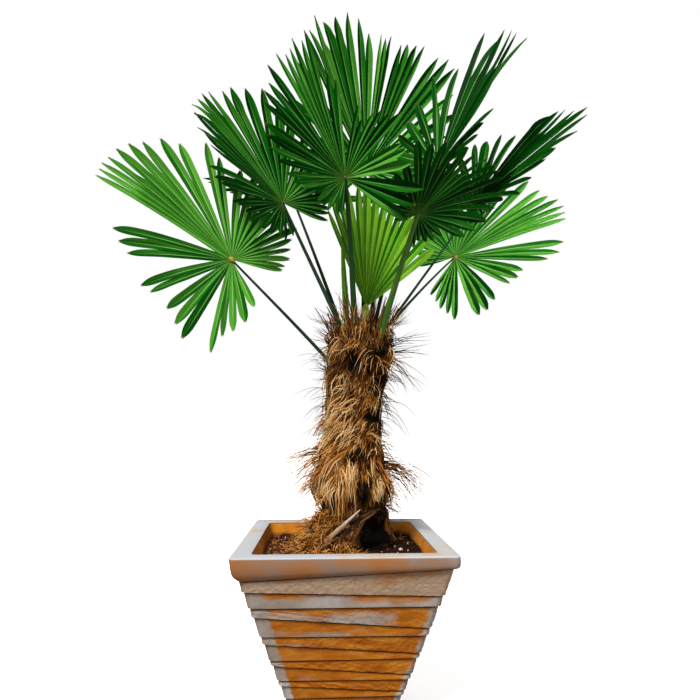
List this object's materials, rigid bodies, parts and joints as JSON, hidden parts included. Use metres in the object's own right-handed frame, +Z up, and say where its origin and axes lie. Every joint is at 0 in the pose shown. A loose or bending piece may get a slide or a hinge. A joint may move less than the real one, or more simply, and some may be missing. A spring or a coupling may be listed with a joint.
{
  "type": "potted windmill palm",
  "caption": "Windmill palm with pleated fan fronds on a shaggy fibrous trunk, growing in soil in a square tapered terracotta pot with slanting bands.",
  "frame": {"origin": "centre of the pot's underside", "axes": "+Z up along the trunk, -Y towards the viewer, +X to the viewer's right"},
  "size_m": [1.3866, 0.9495, 1.9456],
  "materials": {
    "terracotta": "matte",
    "soil": "matte",
    "trunk_fibre": "matte",
    "leaf": "satin",
    "young_leaf": "satin"
  },
  "bodies": {
    "root": {"pot": "terracotta", "soil": "soil", "trunk": "trunk_fibre", "frond_left_low": "leaf", "frond_left": "leaf", "frond_front": "leaf", "frond_top": "leaf", "frond_right_high": "leaf", "frond_front_right": "leaf", "frond_right_low": "leaf", "frond_right": "leaf", "frond_young": "young_leaf", "frond_back_left": "leaf", "frond_back": "leaf", "frond_back_right": "leaf", "spear": "young_leaf"}
  },
  "joints": []
}
